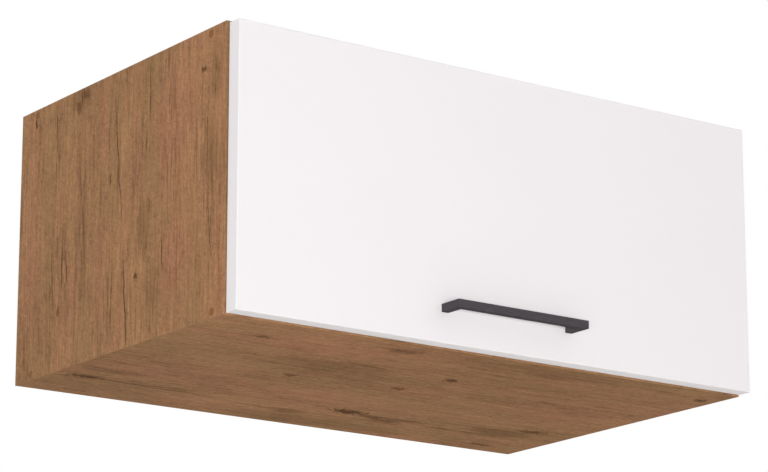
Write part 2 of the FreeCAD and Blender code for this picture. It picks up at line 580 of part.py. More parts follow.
top_panel = box(-INNER_HALF, INNER_HALF, BOARD_FRONT, 0, TOP_UNDER, TOP).cut(groove)
bottom_panel = box(-INNER_HALF, INNER_HALF, BOARD_FRONT, 0, BOTTOM, BOTTOM_UPPER).cut(groove)
for hole in both(carcass_screw_holes + plate_screw_holes):
    top_panel = top_panel.cut(hole)
    bottom_panel = bottom_panel.cut(hole)
save("top_panel", [top_panel])
save("bottom_panel", [bottom_panel])

sheet_half = INNER_HALF + GROOVE_DEPTH - BACK_PLAY
back_panel = box(-sheet_half, sheet_half, BACK_FRONT, BACK_REAR, BOTTOM_UPPER - GROOVE_DEPTH + BACK_PLAY,
                 TOP_UNDER + GROOVE_DEPTH - BACK_PLAY)
notch = box(-sheet_half, hook_side + HOOK_WIDTH + BACK_NOTCH_PLAY, BACK_FRONT, BACK_REAR,
            hook_top - HOOK_LIP - BACK_NOTCH_PLAY, TOP)
save("back_panel", [back_panel.cut(notch).cut(mirrored(notch))])

side_band = box(-HALF_WIDTH, -INNER_HALF, FRONT, BOARD_FRONT, BOTTOM, TOP)
save("carcass_edge_bands", both([side_band]) + [
    box(-INNER_HALF, INNER_HALF, FRONT, BOARD_FRONT, TOP_UNDER, TOP),
    box(-INNER_HALF, INNER_HALF, FRONT, BOARD_FRONT, BOTTOM, BOTTOM_UPPER)])


# Flap: core board, edge bands, handle and bumpers
core_half = FLAP_HALF - FLAP_BAND
core = box(-core_half, core_half, FLAP_FRONT, FLAP_BACK, FLAP_BOTTOM + FLAP_BAND, FLAP_TOP - FLAP_BAND)
cup_bore = cup_solid(CUP_RADIUS + CUP_FIT, CUP_DEPTH)
for hole in both([cup_bore] + cup_screw_holes + flap_bracket_screw_holes):
    core = core.cut(hole)

handle_screws = []
for side in (-1, 1):
    face = Vector(side * HANDLE_HOLES / 2, FLAP_BACK, HANDLE_Z)
    handle_screws.append(pan_screw(face, -Y, FLAP_THICKNESS + HANDLE_SCREW_GRIP, HANDLE_SCREW_RADIUS,
                                   HANDLE_SCREW_HEAD_RADIUS, HANDLE_SCREW_HEAD))
    core = core.cut(bar(HANDLE_SCREW_RADIUS + SCREW_FIT, face, face - Y * FLAP_THICKNESS))
save("flap_panel", [core])
save("handle_screws", handle_screws)


def flap_band(x0, x1, z0, z1, direction, outside):
    """Edge strip with its two outer edges rounded."""
    strip = box(x0, x1, FLAP_FRONT, FLAP_BACK, z0, z1)
    return strip.makeFillet(FLAP_EDGE_RADIUS, edges_along(strip, direction, outside))


band_top = FLAP_TOP - FLAP_BAND
band_bottom = FLAP_BOTTOM + FLAP_BAND
save("flap_edge_bands", [
    flap_band(-FLAP_HALF, -core_half, FLAP_BOTTOM, FLAP_TOP, Z, lambda p: p.x < -FLAP_HALF + NEAR),
    flap_band(core_half, FLAP_HALF, FLAP_BOTTOM, FLAP_TOP, Z, lambda p: p.x > FLAP_HALF - NEAR),
    flap_band(-core_half, core_half, band_top, FLAP_TOP, X, lambda p: p.z > FLAP_TOP - NEAR),
    flap_band(-core_half, core_half, FLAP_BOTTOM, band_bottom, X, lambda p: p.z < FLAP_BOTTOM + NEAR)])

handle_half = (HANDLE_HOLES + HANDLE_BAR) / 2
handle_front = FLAP_FRONT - HANDLE_PROJECTION
handle_low = HANDLE_Z - HANDLE_BAR / 2
handle = box(-handle_half, handle_half, handle_front, FLAP_FRONT, handle_low, handle_low + HANDLE_BAR)
handle = handle.makeFillet(HANDLE_BEND_RADIUS, edges_along(handle, Z, lambda p: p.y < handle_front + NEAR))
finger_half = handle_half - HANDLE_BAR
handle = handle.cut(box(-finger_half, finger_half, handle_front + HANDLE_BAR, FLAP_FRONT,
                        handle_low, handle_low + HANDLE_BAR))
for side in (-1, 1):
    face = Vector(side * HANDLE_HOLES / 2, FLAP_FRONT, HANDLE_Z)
    thread_end = face - Y * (HANDLE_SCREW_GRIP + SCREW_FIT)
    handle = handle.cut(bar(HANDLE_SCREW_RADIUS + SCREW_FIT, face, thread_end))
save("handle", [handle])

bumper_face = Vector(-(HALF_WIDTH - BOARD / 2), FLAP_BACK, FLAP_BOTTOM + BUMPER_INSET)
bumper = Part.makeCylinder(BUMPER_RADIUS, FLAP_GAP - BUMPER_PLAY, bumper_face, Y)
bumper_rim = rims(bumper, lambda p: p.y > FRONT - FLAP_GAP / 2)
save("flap_bumpers", both([bumper.makeFillet((FLAP_GAP - BUMPER_PLAY) / 2, bumper_rim)]))

print("flap pivot", round(PIVOT_Y, 3), round(PIVOT_Z, 3))
print("strut studs", [round(c, 3) for c in SIDE_STUD], [round(c, 3) for c in FLAP_STUD])
print("strut length closed", round(CLOSED_LENGTH, 2), "open", round(OPEN_LENGTH, 2))
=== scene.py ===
import bmesh
import bpy
import math
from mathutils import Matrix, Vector


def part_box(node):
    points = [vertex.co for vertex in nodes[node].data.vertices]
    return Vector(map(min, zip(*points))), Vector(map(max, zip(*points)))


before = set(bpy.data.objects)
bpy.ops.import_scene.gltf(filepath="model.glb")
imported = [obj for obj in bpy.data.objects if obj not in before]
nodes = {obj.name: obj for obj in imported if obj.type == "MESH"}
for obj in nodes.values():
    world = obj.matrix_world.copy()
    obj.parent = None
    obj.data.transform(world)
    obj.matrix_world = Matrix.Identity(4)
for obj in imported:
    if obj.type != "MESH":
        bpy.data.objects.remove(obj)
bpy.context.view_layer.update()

# Carcass boards: 16 mm chipboard faced on both sides with an oak decor paper under melamine.
# The grain stands upright on the sides and runs across on the top and the bottom, which are screwed
# between the sides; the rear edges on the wall are left raw.
MILLIMETRE = 0.001


def chip(red, green, blue):
    """Linear colour from three 8-bit sRGB levels."""
    levels = [level / 255 for level in (red, green, blue)]
    linear = [level / 12.92 if level <= 0.04045 else ((level + 0.055) / 1.055) ** 2.4 for level in levels]
    return (*linear, 1.0)


def start_finish(name):
    """A new material with its node tree, its shader and the place on the piece."""
    material = bpy.data.materials.new(name)
    material.use_nodes = True
    tree = material.node_tree
    place = tree.nodes.new("ShaderNodeTexCoord").outputs["Object"]
    return material, tree, tree.nodes["Principled BSDF"], place


def put(tree, socket, value):
    """Feeds a socket from another node, or sets its own value."""
    if isinstance(value, bpy.types.NodeSocket):
        tree.links.new(value, socket)
    else:
        socket.default_value = value


def calc(tree, operation, *values):
    node = tree.nodes.new("ShaderNodeMath")
    node.operation = operation
    for socket, value in zip(node.inputs, values):
        put(tree, socket, value)
    return node.outputs[0]


def blend(tree, amount, under, over):
    """Mixes two colours; inputs 6 and 7 and output 2 are the node's sockets for colours."""
    node = tree.nodes.new("ShaderNodeMix")
    node.data_type = "RGBA"
    for index, value in ((0, amount), (6, under), (7, over)):
        put(tree, node.inputs[index], value)
    return node.outputs[2]


def split(tree, vector):
    """X, Y and Z of a vector."""
    node = tree.nodes.new("ShaderNodeSeparateXYZ")
    put(tree, node.inputs[0], vector)
    return node.outputs


def spread(tree, value, start, stop, low=0.0, high=1.0):
    """Maps start to stop smoothly onto low to high."""
    node = tree.nodes.new("ShaderNodeMapRange")
    node.interpolation_type = "SMOOTHSTEP"
    for socket, entry in zip(node.inputs, (value, start, stop, low, high)):
        put(tree, socket, entry)
    return node.outputs[0]


def noise(tree, place, scale, detail=2.0, roughness=0.5, distortion=0.0):
    node = tree.nodes.new("ShaderNodeTexNoise")
    for name, value in (("Vector", place), ("Scale", scale), ("Detail", detail), ("Roughness", roughness),
                        ("Distortion", distortion)):
        put(tree, node.inputs[name], value)
    return node.outputs["Fac"]


def drawn_noise(tree, place, cell, shift, detail=2.0, distortion=0.0, turn=(0.0, 0.0, 0.0)):
    """Noise in cells of the given millimetres along X, Y and Z, turned and moved by a shift in metres."""
    node = tree.nodes.new("ShaderNodeMapping")
    node.vector_type = "TEXTURE"
    size = [length * MILLIMETRE for length in cell]
    for name, value in (("Vector", place), ("Scale", size), ("Location", (shift,) * 3), ("Rotation", turn)):
        put(tree, node.inputs[name], value)
    return noise(tree, node.outputs[0], scale=1.0, detail=detail, distortion=distortion)


def shades(tree, value, *stops):
    """Colour ramp through (position, colour) stops; a new ramp comes with two."""
    node = tree.nodes.new("ShaderNodeValToRGB")
    put(tree, node.inputs[0], value)
    for _ in stops[2:]:
        node.color_ramp.elements.new(0.5)
    for element, (position, colour) in zip(node.color_ramp.elements, stops):
        element.position = position
        element.color = colour
    return node.outputs[0]


def raise_bump(tree, shader, height, strength, distance):
    node = tree.nodes.new("ShaderNodeBump")
    for name, value in (("Height", height), ("Strength", strength), ("Distance", distance)):
        put(tree, node.inputs[name], value)
    tree.links.new(node.outputs[0], shader.inputs["Normal"])


OLIVE_OAK = chip(153, 117, 83)
PLAIN_OAK = chip(160, 120, 86)
WARM_OAK = chip(168, 122, 90)
OAK_STOPS = ((0.30, OLIVE_OAK), (0.50, PLAIN_OAK), (0.72, WARM_OAK))
TINT_RED = chip(166, 119, 89)
PALE_LINE = chip(182, 142, 106)
LINE_BROWN = chip(84, 58, 33)
SHEET_APART = 330.0
FLECK_TILT = math.radians(24)
# Layers of the grain: cell across and along in millimetres, shift in metres, detail, distortion and tilt.
GRAIN = {"broad": (84, 560, 4.0, 2.0, 0.5), "zone": (46, 330, 5.0, 2.0, 0.8),
         "streak": (11, 260, 6.0, 3.0, 0.6), "fibre": (5.2, 110, 12.0, 4.0, 0.5),
         "growth": (48, 760, 11.0, 2.0, 0.25), "line": (3.6, 60, 7.0, 3.0, 0.7),
         "dash": (3.0, 17, 8.0, 2.0, 0.4), "speck": (2.4, 5.0, 9.0, 1.0),
         "fleck": (12, 4.2, 10.0, 3.0, 1.4, FLECK_TILT), "blotch": (24, 34, 13.0, 2.0, 0.6),
         "patch": (120, 210, 14.0, 2.0, 0.4)}
# How strongly a layer lightens and darkens the decor, round the painted light level of its lay.
GRAIN_LIGHT = {"streak": 0.16, "patch": 0.42, "blotch": 0.26, "fibre": 0.42, "dash": 0.64, "speck": 0.50,
               "fleck": 0.70}
# Painted light and shade: the upright decor on the sides is painted lighter than the level decor on the
# underside and the top, as a lit and a shaded copy of the same paper.
UPRIGHT_LIT_TONE = 1.07
LEVEL_SHADED_TONE = 1.00
SAME_HUE = 0.5
HUE_SWING = 0.03
# Noise levels between which a mark sets in, and the shares at both if they aren't 0 and 1.
GATHERING = (0.44, 0.70, 0.14, 0.64)
RING_CREST = (0.1, 1.0)
RING_BREAK = (0.38, 0.60)
LINE_ONSET = (0.54, 0.74)
DASH_ONSET = (0.56, 0.76)
PALE_ONSET = (0.44, 0.28, 0.0, 0.45)
RING_PITCH = 95.0
RING_LEAST = 0.08
RING_DEPTH = 0.30
LINE_DEPTH = 0.58
DASH_DEPTH = 0.75


def laid_noise(tree, place, lay, across, along, shift, detail, distortion=0.0, tilt=0.0):
    """Noise drawn out along the grain, on a board whose three axes lie as the word at each place says."""
    lengths = {"across": across, "along": along, "through": SHEET_APART}
    turns = [tilt if word == "through" else 0.0 for word in lay]
    return drawn_noise(tree, place, [lengths[word] for word in lay], shift, detail, distortion, turns)


UPRIGHT = ("through", "across", "along")
LEVEL = ("along", "across", "through")


def oak_decor(tree, place, lay, clusters=0.0, tints=0.0):
    """Colour and relief of the decor paper with its grain along one axis, its clusters and its tints."""
    grain = {layer: laid_noise(tree, place, lay, *values) for layer, values in GRAIN.items()}
    colour = shades(tree, grain["broad"], *OAK_STOPS)
    if tints:
        colour = blend(tree, tints, colour, TINT_RED)
    gathered = calc(tree, "MAXIMUM", spread(tree, grain["zone"], *GATHERING), clusters)
    rings = calc(tree, "SINE", calc(tree, "MULTIPLY", grain["growth"], RING_PITCH))
    rings = spread(tree, rings, *RING_CREST)
    rings = calc(tree, "MULTIPLY", rings, spread(tree, grain["line"], *RING_BREAK))
    lines = calc(tree, "MULTIPLY", spread(tree, grain["line"], *LINE_ONSET), gathered)
    dashes = calc(tree, "MULTIPLY", spread(tree, grain["dash"], *DASH_ONSET), gathered)
    dark = calc(tree, "MULTIPLY_ADD", dashes, DASH_DEPTH, calc(tree, "MULTIPLY", lines, LINE_DEPTH))
    ring_depth = calc(tree, "MULTIPLY_ADD", gathered, RING_DEPTH, RING_LEAST)
    dark = calc(tree, "MULTIPLY_ADD", rings, ring_depth, dark)
    pale = calc(tree, "MULTIPLY", spread(tree, grain["line"], *PALE_ONSET), gathered)
    colour = blend(tree, pale, colour, PALE_LINE)
    colour = blend(tree, dark, colour, LINE_BROWN)
    # The level decor is painted darker than the upright decor: painted shade on the underside and the top.
    light = (LEVEL_SHADED_TONE if lay == LEVEL else UPRIGHT_LIT_TONE) - sum(GRAIN_LIGHT.values()) / 2
    for layer, weight in GRAIN_LIGHT.items():
        light = calc(tree, "MULTIPLY_ADD", grain[layer], weight, light)
    hue = calc(tree, "MULTIPLY_ADD", grain["fibre"], HUE_SWING, SAME_HUE - HUE_SWING / 2)
    tone = tree.nodes.new("ShaderNodeHueSaturation")
    put(tree, tone.inputs["Hue"], hue)
    put(tree, tone.inputs["Value"], light)
    put(tree, tone.inputs["Color"], colour)
    return tone.outputs[0], calc(tree, "SUBTRACT", grain["speck"], dark)


# A crack's swing in widths, its least reach in metres, and where its edge and a spot's begin and end.
CRACK_SWING = 4.0
LEAST_REACH = 1e-6
CRACK_RIM = 1.0
CRACK_CORE = 0.2
SPOT_RIM = 1.25
SPOT_CORE = 0.45
RAGGED_EDGE = 3.0


def crack_mask(tree, across, along, wobble, start, stop, width):
    """Line between two places given as (across, along), wobbling and tapering to both ends."""
    (across_start, along_start), (across_stop, along_stop) = start, stop
    slope = 1 / (along_stop - along_start)
    swing = CRACK_SWING * width
    part = calc(tree, "MULTIPLY_ADD", along, slope, -along_start * slope)
    middle = calc(tree, "MULTIPLY_ADD", part, across_stop - across_start, across_start - swing / 2)
    middle = calc(tree, "MULTIPLY_ADD", wobble, swing, middle)
    from_end = calc(tree, "MULTIPLY", part, calc(tree, "SUBTRACT", 1.0, part))
    taper = calc(tree, "SQRT", calc(tree, "MAXIMUM", from_end, 0.0))
    away = calc(tree, "ABSOLUTE", calc(tree, "SUBTRACT", across, middle))
    reach = calc(tree, "MULTIPLY_ADD", taper, 2 * width, LEAST_REACH)
    return spread(tree, calc(tree, "DIVIDE", away, reach), CRACK_RIM, CRACK_CORE)


def spot_mask(tree, across, along, rough, centre, radii):
    """Soft spot with a ragged outline round a place given as (across, along)."""
    step_across = calc(tree, "MULTIPLY_ADD", across, 1 / radii[0], -centre[0] / radii[0])
    step_along = calc(tree, "MULTIPLY_ADD", along, 1 / radii[1], -centre[1] / radii[1])
    square = calc(tree, "MULTIPLY", step_across, step_across)
    reach = calc(tree, "SQRT", calc(tree, "MULTIPLY_ADD", step_along, step_along, square))
    reach = calc(tree, "MULTIPLY_ADD", rough, RAGGED_EDGE, reach)
    return spread(tree, reach, SPOT_RIM + RAGGED_EDGE / 2, SPOT_CORE + RAGGED_EDGE / 2)


CRACK_BROWN = chip(66, 46, 28)
KNOT_BROWN = chip(80, 52, 30)
STAIN_BROWN = chip(108, 80, 50)

# Cracks from one place to another with their width; knots, stains, red tints and clusters of dark grain with
# their radii; each with its strength. On the left side in millimetres from the rear edge and below the top;
# the right side has the same decor turned end for end.
SIDE_CRACKS = [((235, 30), (256, 198), 1.6, 0.80), ((262, 246), (273, 358), 1.8, 0.95),
               ((318, 1), (320, 84), 1.3, 0.65), ((351, 238), (354, 280), 1.8, 0.75),
               ((120, 205), (127, 252), 2.1, 0.70), ((150, 95), (172, 250), 1.4, 0.45),
               ((88, 2), (95, 78), 1.4, 0.55), ((84, 200), (94, 292), 2.0, 0.50),
               ((452, 205), (462, 290), 1.5, 0.55), ((286, 90), (289, 160), 1.2, 0.40),
               ((300, 60), (303, 130), 1.2, 0.35), ((426, 90), (428, 205), 1.3, 0.40),
               ((152, 3), (154, 24), 1.6, 0.60), ((170, 4), (171, 20), 1.6, 0.55)]
SIDE_KNOTS = [((37, 19), (3.2, 6.5), 0.80), ((146, 24), (7, 9), 0.50), ((160, 10), (8, 7), 0.50),
              ((441, 49), (4.5, 5), 0.90), ((227, 135), (2.6, 8), 0.75), ((293, 274), (4.5, 5), 0.75),
              ((104, 284), (5, 7), 0.55)]
SIDE_STAINS = [((308, 214), (17, 34), 0.28), ((466, 160), (27, 44), 0.32), ((470, 62), (8, 34), 0.28),
               ((330, 300), (56, 36), 0.16), ((166, 225), (11, 80), 0.20), ((98, 60), (10, 66), 0.18),
               ((152, 14), (22, 16), 0.40)]
SIDE_TINTS = [((372, 100), (46, 105), 0.90), ((378, 265), (36, 64), 0.90), ((32, 190), (30, 170), 0.70),
              ((205, 250), (26, 110), 0.65), ((205, 60), (24, 60), 0.60), ((480, 250), (14, 80), 0.60)]
SIDE_CLUSTERS = [((103, 235), (26, 66), 1.0), ((95, 70), (12, 72), 0.8), ((160, 200), (16, 120), 0.6),
                 ((238, 110), (10, 90), 0.5), ((268, 300), (10, 60), 0.5), ((308, 214), (22, 45), 0.9),
                 ((306, 90), (16, 80), 0.6), ((352, 260), (9, 32), 0.8), ((440, 120), (16, 90), 0.5),
                 ((456, 245), (22, 50), 0.8), ((470, 70), (11, 42), 0.8), ((340, 310), (50, 40), 0.4)]
# On the underside in millimetres back from the front edge and from the left side; the top has it turned too.
UNDER_CRACKS = [((393, 70), (397, 226), 2.6, 0.70), ((184, 570), (180, 705), 1.8, 0.45),
                ((330, 16), (342, 70), 2.0, 0.60), ((408, 470), (412, 560), 2.2, 0.55),
                ((232, 12), (234, 110), 1.4, 0.35), ((272, 160), (268, 330), 1.5, 0.35)]
UNDER_KNOTS = [((376, 443), (14, 30), 0.85), ((388, 46), (9, 32), 0.80), ((138, 436), (9, 10), 0.80),
               ((218, 408), (8, 12), 0.65), ((232, 250), (8, 12), 0.65), ((48, 776), (7, 10), 0.75),
               ((344, 728), (11, 26), 0.65), ((455, 722), (7, 22), 0.65), ((70, 104), (7, 12), 0.45),
               ((36, 285), (13, 28), 0.45), ((400, 520), (9, 26), 0.50), ((396, 610), (6, 24), 0.50),
               ((388, 490), (7, 22), 0.55)]
UNDER_STAINS = [((160, 265), (54, 90), 0.24), ((374, 690), (26, 52), 0.55), ((384, 515), (13, 62), 0.50),
                ((415, 372), (12, 30), 0.50), ((30, 480), (30, 130), 0.34), ((455, 430), (28, 150), 0.24),
                ((345, 60), (14, 50), 0.30), ((110, 560), (20, 90), 0.22), ((215, 330), (16, 70), 0.20)]
UNDER_TINTS = [((300, 130), (60, 120), 0.80), ((325, 360), (44, 110), 0.75), ((80, 150), (46, 100), 0.45),
               ((200, 690), (60, 90), 0.70), ((440, 250), (36, 110), 0.65)]
UNDER_CLUSTERS = [((375, 690), (34, 70), 0.9), ((385, 500), (20, 80), 0.8), ((395, 130), (14, 120), 0.8),
                  ((335, 60), (22, 60), 0.6), ((182, 640), (14, 80), 0.6), ((60, 110), (30, 70), 0.5),
                  ((35, 290), (20, 50), 0.6), ((460, 700), (16, 60), 0.7), ((60, 520), (25, 160), 0.8),
                  ((110, 640), (20, 110), 0.6), ((205, 500), (28, 120), 0.7), ((255, 340), (24, 110), 0.6)]


def in_metres(*places):
    return [[value * MILLIMETRE for value in place] for place in places]


def gathered_in(tree, across, along, shown, soft, spots):
    """How far a point lies in the listed spots where shown is 1."""
    gathered = 0.0
    for centre, radii, strength in spots:
        mask = spot_mask(tree, across, along, soft, *in_metres(centre, radii))
        gathered = calc(tree, "MAXIMUM", gathered, calc(tree, "MULTIPLY", mask, strength))
    return calc(tree, "MULTIPLY", gathered, shown)


def laid_over(tree, colour, mask, shown, strength, brown):
    """The colour with one mark in its brown over it, where shown is 1."""
    amount = calc(tree, "MULTIPLY", mask, calc(tree, "MULTIPLY", shown, strength))
    return blend(tree, amount, colour, brown)


def marked(tree, colour, across, along, shown, roughs, marks):
    """Lays stains, knots and cracks over the decor where shown is 1."""
    wobble, ragged, soft = roughs
    cracks, knots, stains = marks
    for spots, rough, brown in ((stains, soft, STAIN_BROWN), (knots, ragged, KNOT_BROWN)):
        for centre, radii, strength in spots:
            mask = spot_mask(tree, across, along, rough, *in_metres(centre, radii))
            colour = laid_over(tree, colour, mask, shown, strength, brown)
    for start, stop, width, strength in cracks:
        mask = crack_mask(tree, across, along, wobble, *in_metres(start, stop), width * MILLIMETRE)
        colour = laid_over(tree, colour, mask, shown, strength, CRACK_BROWN)
    return colour


# Unevenness of the marks, given like the layers of the grain.
WOBBLE = (110, 26, 2.0, 2.0)
RAGGED = (4, 7, 3.0, 4.0)
SOFT = (7, 70, 1.0, 4.0)


def marked_decor(tree, place, lay, across, along, shown, marks, clusters, tints):
    """The decor of one face with its own marks, clusters and tints."""
    wobble = laid_noise(tree, place, lay, *WOBBLE)
    ragged = laid_noise(tree, place, lay, *RAGGED)
    soft = laid_noise(tree, place, lay, *SOFT)
    gathered = gathered_in(tree, across, along, shown, soft, clusters)
    tinted = gathered_in(tree, across, along, shown, soft, tints)
    colour, relief = oak_decor(tree, place, lay, gathered, tinted)
    return marked(tree, colour, across, along, shown, (wobble, ragged, soft), marks), relief


def melamine(tree, shader, relief):
    """The dull pressed surface over the decor."""
    put(tree, shader.inputs["Roughness"], spread(tree, relief, 0.0, 1.0, low=0.80, high=0.66))
    shader.inputs["Specular IOR Level"].default_value = 0.02
    raise_bump(tree, shader, relief, strength=0.25, distance=0.2 * MILLIMETRE)


def either_relief(tree, is_side, level, upright):
    """Relief of the upright decor where is_side is 1, and of the level decor elsewhere."""
    relief = calc(tree, "MULTIPLY", is_side, upright)
    return calc(tree, "MULTIPLY_ADD", calc(tree, "SUBTRACT", 1.0, is_side), level, relief)


side_low, side_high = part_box("side_panel_left")
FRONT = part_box("carcass_edge_bands")[0].y
CARCASS_TOP = side_high.z
CARCASS_BOTTOM = side_low.z
OUTER_LEFT = side_low.x
FACING_LIMIT = 0.7
FLAKE_STOPS = ((0.3, chip(126, 92, 60)), (0.5, chip(170, 132, 90)), (0.7, chip(196, 162, 118)))


def outer_face(tree, axes, board):
    """Places across and along the grain of a board's outer face, and a mask of that face."""
    x, y, z = axes
    if board == "left":
        face = calc(tree, "LESS_THAN", x, OUTER_LEFT + MILLIMETRE)
        return calc(tree, "MULTIPLY", y, -1.0), calc(tree, "SUBTRACT", CARCASS_TOP, z), face
    if board == "right":
        face = calc(tree, "GREATER_THAN", x, -OUTER_LEFT - MILLIMETRE)
        return calc(tree, "SUBTRACT", y, FRONT), calc(tree, "SUBTRACT", z, CARCASS_BOTTOM), face
    if board == "bottom":
        face = calc(tree, "LESS_THAN", z, CARCASS_BOTTOM + MILLIMETRE)
        return calc(tree, "SUBTRACT", y, FRONT), calc(tree, "SUBTRACT", x, OUTER_LEFT), face
    face = calc(tree, "GREATER_THAN", z, CARCASS_TOP - MILLIMETRE)
    return calc(tree, "MULTIPLY", y, -1.0), calc(tree, "SUBTRACT", -OUTER_LEFT, x), face


def oak_finish(board):
    """Oak board: upright decor on its sides, level decor above and below, raw chipboard at the rear."""
    material, tree, shader, place = start_finish("oak_" + board)
    facing = split(tree, tree.nodes.new("ShaderNodeNewGeometry").outputs["True Normal"])
    across, along, shown = outer_face(tree, split(tree, place), board)
    if board in ("left", "right"):
        marks = (SIDE_CRACKS, SIDE_KNOTS, SIDE_STAINS)
        upright, upright_relief = marked_decor(tree, place, UPRIGHT, across, along, shown, marks,
                                               SIDE_CLUSTERS, SIDE_TINTS)
        level, level_relief = oak_decor(tree, place, LEVEL)
    else:
        marks = (UNDER_CRACKS, UNDER_KNOTS, UNDER_STAINS)
        level, level_relief = marked_decor(tree, place, LEVEL, across, along, shown, marks,
                                           UNDER_CLUSTERS, UNDER_TINTS)
        upright, upright_relief = oak_decor(tree, place, UPRIGHT)
    is_side = calc(tree, "GREATER_THAN", calc(tree, "ABSOLUTE", facing["X"]), FACING_LIMIT)
    is_rear = calc(tree, "GREATER_THAN", facing["Y"], FACING_LIMIT)
    flakes = noise(tree, place, scale=420.0, detail=3.0, roughness=0.7)
    raw_edge = shades(tree, flakes, *FLAKE_STOPS)
    faces = blend(tree, is_side, level, upright)
    put(tree, shader.inputs["Base Color"], blend(tree, is_rear, faces, raw_edge))
    melamine(tree, shader, either_relief(tree, is_side, level_relief, upright_relief))
    return material


def dress(material, *names):
    """Gives CAD nodes their finish."""
    for name in names:
        data = nodes[name].data
        data.materials.clear()
        data.materials.append(material)


dress(oak_finish("left"), "side_panel_left")
dress(oak_finish("right"), "side_panel_right")
dress(oak_finish("bottom"), "bottom_panel")
dress(oak_finish("top"), "top_panel")

# Edge bands: 0.8 mm strips in the same oak decor, glued over the raw front edges of the four boards.
# Their grain follows each edge, upright on the sides and level on the top and the bottom.
UPRIGHT_BAND = ("across", "through", "along")
LEVEL_BAND = ("along", "through", "across")
oak_band, tree, shader, place = start_finish("oak_edge_band")
from_middle = calc(tree, "ABSOLUTE", split(tree, place)["X"])
on_side = calc(tree, "GREATER_THAN", from_middle, -side_high.x)
upright, upright_relief = oak_decor(tree, place, UPRIGHT_BAND)
level, level_relief = oak_decor(tree, place, LEVEL_BAND)
put(tree, shader.inputs["Base Color"], blend(tree, on_side, level, upright))
melamine(tree, shader, either_relief(tree, on_side, level_relief, upright_relief))
dress(oak_band, "carcass_edge_bands")

# Back sheet: 3 mm hardboard slid into a groove round the boards, 16 mm in front of the wall.
# Brown pressed fibre, smooth towards the room.
PRESSED_STOPS = ((0.25, chip(112, 78, 52)), (0.5, chip(138, 100, 69)), (0.75, chip(158, 118, 84)))
PRESSED_CLOUD = chip(126, 90, 62)
hardboard, tree, shader, place = start_finish("hardboard")
fibres = noise(tree, place, scale=260.0, detail=5.0, roughness=0.7)
clouds = noise(tree, place, scale=9.0)
clouded = spread(tree, clouds, 0.3, 0.7, low=0.0, high=0.3)
colour = blend(tree, clouded, shades(tree, fibres, *PRESSED_STOPS), PRESSED_CLOUD)
put(tree, shader.inputs["Base Color"], colour)
shader.inputs["Roughness"].default_value = 0.7
shader.inputs["Specular IOR Level"].default_value = 0.25
raise_bump(tree, shader, fibres, strength=0.35, distance=0.2 * MILLIMETRE)
dress(hardboard, "back_panel")


# Carcass screws and caps: zinc-plated chipboard screws through the sides into the top and the bottom,
# each socket closed with a brown moulded cap that lies flush in the oak.
def two_tones(tree, shader, value, first, second):
    """Colours a finish between two tones with a noise."""
    put(tree, shader.inputs["Base Color"], shades(tree, value, (0.3, first), (0.7, second)))


def uneven_gloss(tree, shader, value, roughness, swing):
    """Lets the roughness of a finish swing round its mean with a noise."""
    gloss = spread(tree, value, 0.2, 0.8, roughness - swing, roughness + swing)
    put(tree, shader.inputs["Roughness"], gloss)


FINE_BUMP = 0.1 * MILLIMETRE


def plated(name, dull, bright, roughness):
    """Metal with a clouded plating and fine scratches."""
    material, tree, shader, place = start_finish(name)
    clouds = noise(tree, place, scale=160.0, detail=3.0)
    scratches = noise(tree, place, scale=2400.0)
    two_tones(tree, shader, clouds, dull, bright)
    uneven_gloss(tree, shader, scratches, roughness, swing=0.08)
    shader.inputs["Metallic"].default_value = 1.0
    raise_bump(tree, shader, scratches, strength=0.08, distance=FINE_BUMP)
    return material


zinc = plated("zinc_plate", chip(160, 162, 163), chip(192, 194, 194), roughness=0.38)
dress(zinc, "carcass_screws")
cap_plastic, tree, shader, place = start_finish("cap_plastic")
mottle = noise(tree, place, scale=700.0, detail=3.0)
two_tones(tree, shader, mottle, chip(138, 94, 58), chip(146, 99, 62))
shader.inputs["Roughness"].default_value = 0.6
shader.inputs["Specular IOR Level"].default_value = 0.06
raise_bump(tree, shader, mottle, strength=0.2, distance=FINE_BUMP)
dress(cap_plastic, "screw_caps")


# Cabinet hangers: cream moulded housings with snap-on covers, screwed into the upper rear corners.
# A zinc-plated hook reaches out of each towards the wall rail, set by two adjusting screws.
def moulded(name, first, second, roughness):
    """Plastic or paint with a fine texture."""
    material, tree, shader, place = start_finish(name)
    texture = noise(tree, place, scale=1100.0, detail=3.0)
    two_tones(tree, shader, texture, first, second)
    uneven_gloss(tree, shader, texture, roughness, swing=0.05)
    raise_bump(tree, shader, texture, strength=0.15, distance=FINE_BUMP)
    return material


SIDES = ("left", "right")
hanger_cream = moulded("hanger_plastic", chip(222, 219, 211), chip(229, 226, 219), roughness=0.42)
for side in SIDES:
    dress(hanger_cream, "hanger_housing_" + side, "hanger_cover_" + side)
    dress(zinc, "hanger_hook_" + side)
dress(zinc, "hanger_adjusting_screws", "hanger_fixing_screws")

# Flap: 22 mm board in smooth white foil, hung in front of the carcass with a narrow gap all round.
# Its four edges are closed with a 2 mm white band, rounded at both arrises.
FLAP_WHITE = chip(243, 239, 241)
FLAP_CLOUD = chip(242, 238, 240)


def white_finish(name, roughness, peel):
    """White foil or band with a faint cloud in its colour and a fine peel."""
    material, tree, shader, place = start_finish(name)
    clouds = noise(tree, place, scale=5.0)
    two_tones(tree, shader, clouds, FLAP_CLOUD, FLAP_WHITE)
    texture = noise(tree, place, scale=900.0)
    uneven_gloss(tree, shader, texture, roughness, swing=0.04)
    raise_bump(tree, shader, texture, strength=peel, distance=FINE_BUMP)
    return material


dress(white_finish("white_foil", roughness=0.36, peel=0.10), "flap_panel")
dress(white_finish("white_edge_band", roughness=0.42, peel=0.14), "flap_edge_bands")

